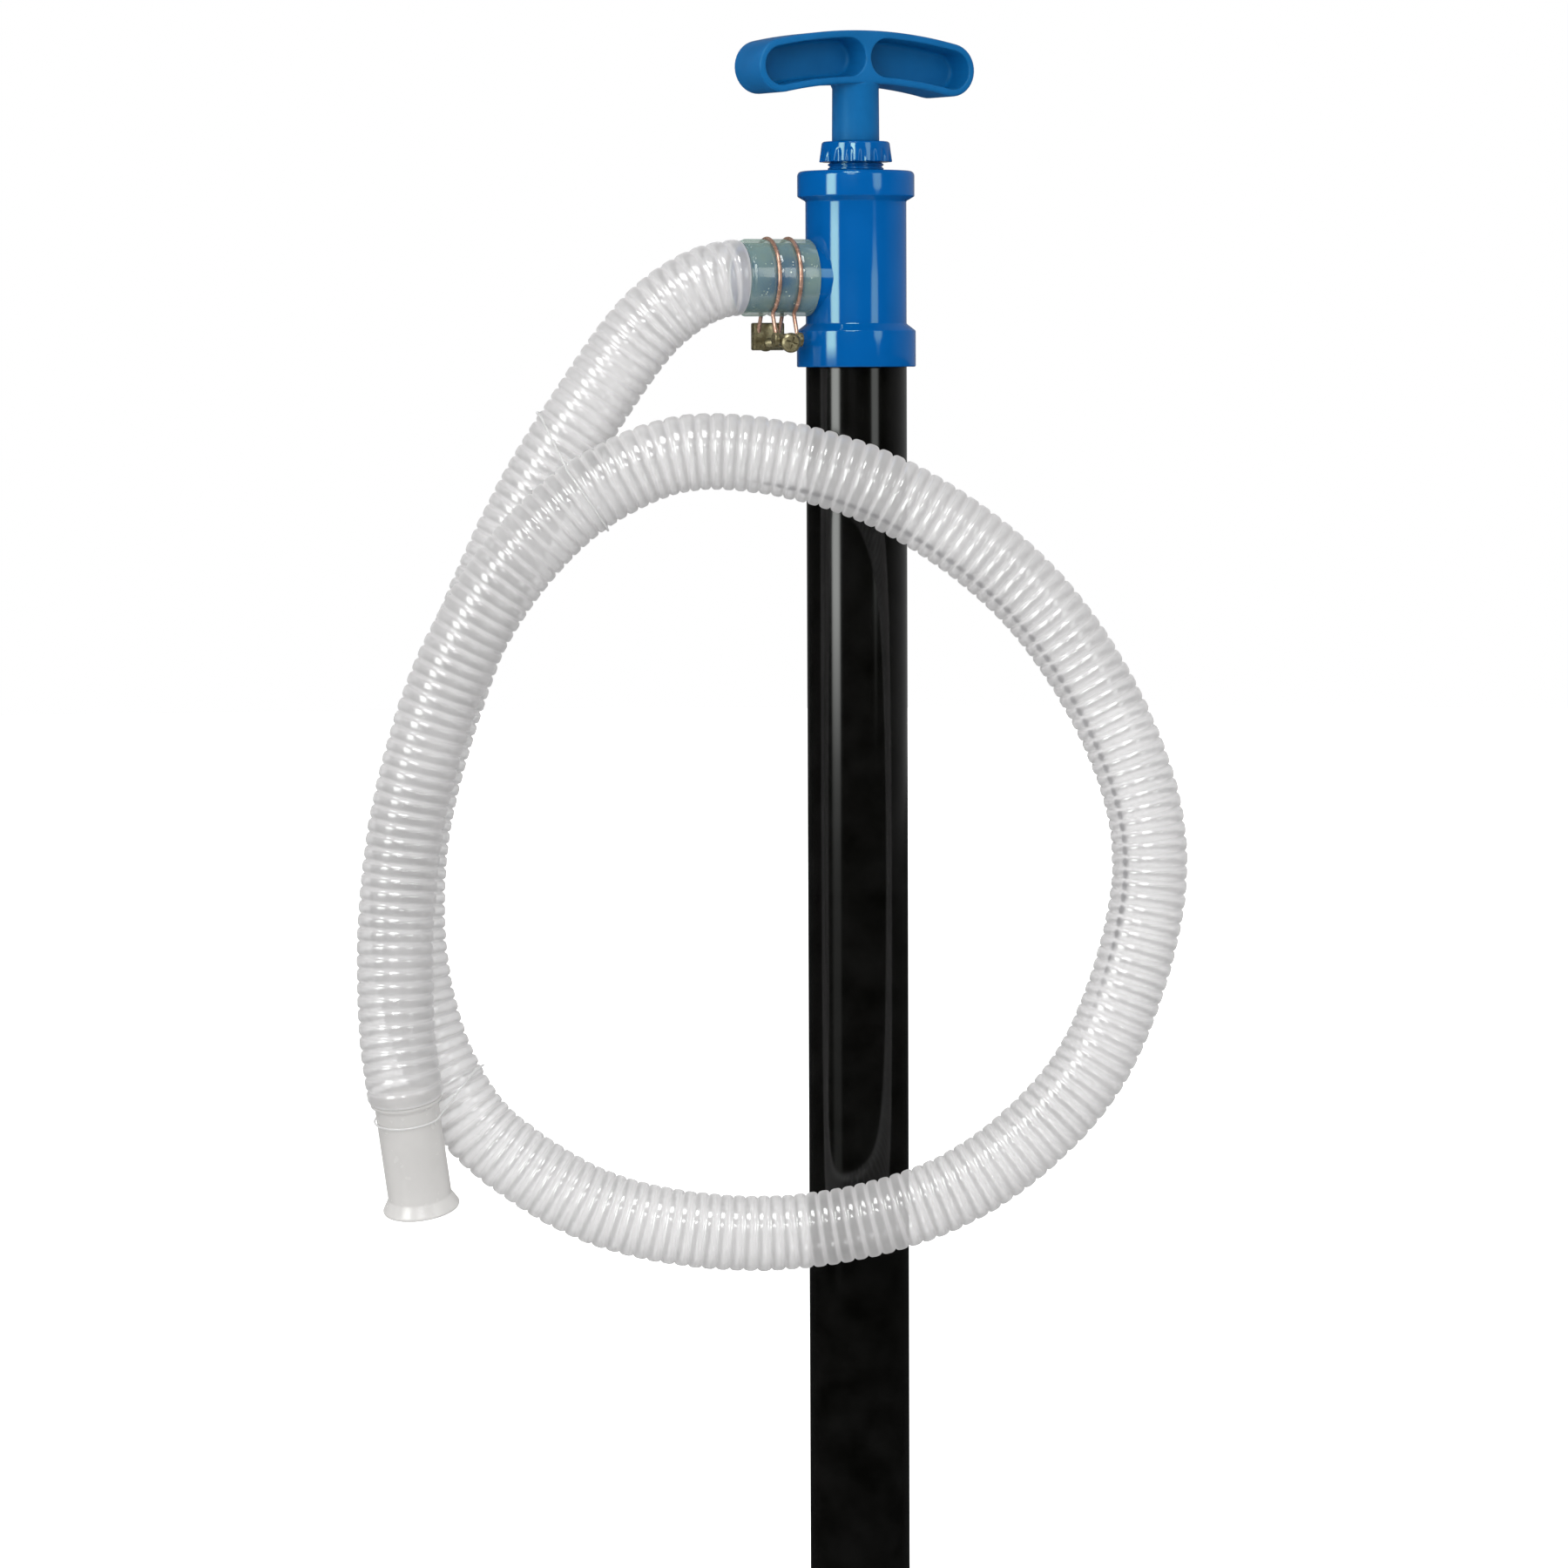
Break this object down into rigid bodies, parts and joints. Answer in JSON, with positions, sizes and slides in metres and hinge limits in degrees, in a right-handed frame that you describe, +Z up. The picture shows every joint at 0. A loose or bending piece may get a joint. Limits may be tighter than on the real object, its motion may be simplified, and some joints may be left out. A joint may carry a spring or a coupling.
{
  "type": "hand bilge pump",
  "caption": "Hand-operated lift pump: long straight barrel, T-handle plunger, side outlet with a clamped, coiled corrugated hose, foot valve and strainer.",
  "frame": {"origin": "centre of the foot's resting face at the bottom of the barrel", "axes": "+Z up along the barrel towards the handle, the side outlet points along -X"},
  "size_m": [0.389, 0.1873, 0.9151],
  "materials": {
    "gloss_blue": "glossy moulded plastic, saturated blue",
    "handle_blue": "satin moulded plastic, fine grain, blue",
    "barrel_black": "glossy extruded plastic pipe, black",
    "strainer_black": "satin moulded plastic, black",
    "hose_milky": "milky translucent polyethylene",
    "cuff_clear": "translucent flexible plastic",
    "wire_zinc": "drawn wire, warm zinc plate",
    "yellow_zinc": "yellow chromate zinc plate",
    "tie_clear": "clear strand",
    "rod_grey": "extruded plastic tube, light grey",
    "acetal_white": "moulded acetal, off white",
    "seal_rubber": "nitrile rubber",
    "steel": "stainless steel"
  },
  "bodies": {
    "pump": {"pump_head": "gloss_blue", "top_cap": "gloss_blue", "barrel_tube": "barrel_black", "cap_seal": "seal_rubber", "rod_guide_bush": "acetal_white", "rod_seal": "seal_rubber", "discharge_hose": "hose_milky", "hose_inlet_cuff": "cuff_clear", "hose_end_cuff": "hose_milky", "clamp_wire": "wire_zinc", "clamp_saddle": "yellow_zinc", "clamp_nut": "yellow_zinc", "hose_tie_upper": "tie_clear", "hose_tie_lower": "tie_clear", "foot_valve_seat": "acetal_white", "foot_valve_cage": "acetal_white", "foot_seal": "seal_rubber", "foot_strainer": "strainer_black"},
    "piston": {"piston_head": "acetal_white", "piston_cup": "seal_rubber"},
    "plunger": {"handle": "handle_blue", "piston_rod": "rod_grey", "rod_end_plug": "rod_grey", "piston_valve_stop": "steel", "piston_washer": "steel", "piston_nut": "steel"},
    "piston_valve": {"piston_valve_disc": "seal_rubber"},
    "foot_valve": {"foot_valve_disc": "seal_rubber"},
    "gland_bush": {"gland_follower": "acetal_white"},
    "gland": {"gland_nut": "gloss_blue"},
    "screw": {"clamp_screw": "yellow_zinc"}
  },
  "joints": [
    {"name": "plunger_slide", "type": "slide", "parent": "pump", "child": "piston", "axis": [0, 0, 1], "range_m": [0, 0.669]},
    {"name": "handle_turn", "type": "hinge", "parent": "piston", "child": "plunger", "pos_m": [0, 0, 0.9], "axis": [0, 0, 1], "continuous": true},
    {"name": "piston_valve_lift", "type": "slide", "parent": "piston", "child": "piston_valve", "axis": [0, 0, 1], "range_m": [0, 0.003]},
    {"name": "foot_valve_lift", "type": "slide", "parent": "pump", "child": "foot_valve", "axis": [0, 0, 1], "range_m": [0, 0.005]},
    {"name": "gland_travel", "type": "slide", "parent": "pump", "child": "gland_bush", "axis": [0, 0, 1], "range_m": [-0.001, 0]},
    {"name": "gland_turn", "type": "hinge", "parent": "gland_bush", "child": "gland", "pos_m": [0, 0, 0.856], "axis": [0, 0, 1], "range_deg": [-180, 0]},
    {"name": "clamp_screw_turn", "type": "hinge", "parent": "pump", "child": "screw", "pos_m": [-0.0415, 0, 0.762], "axis": [0, -1, 0], "range_deg": [-360, 360]}
  ],
  "couplings": [
    {"joint": "gland_travel", "follows": "gland_turn", "m_per_rad": 0.000318}
  ]
}
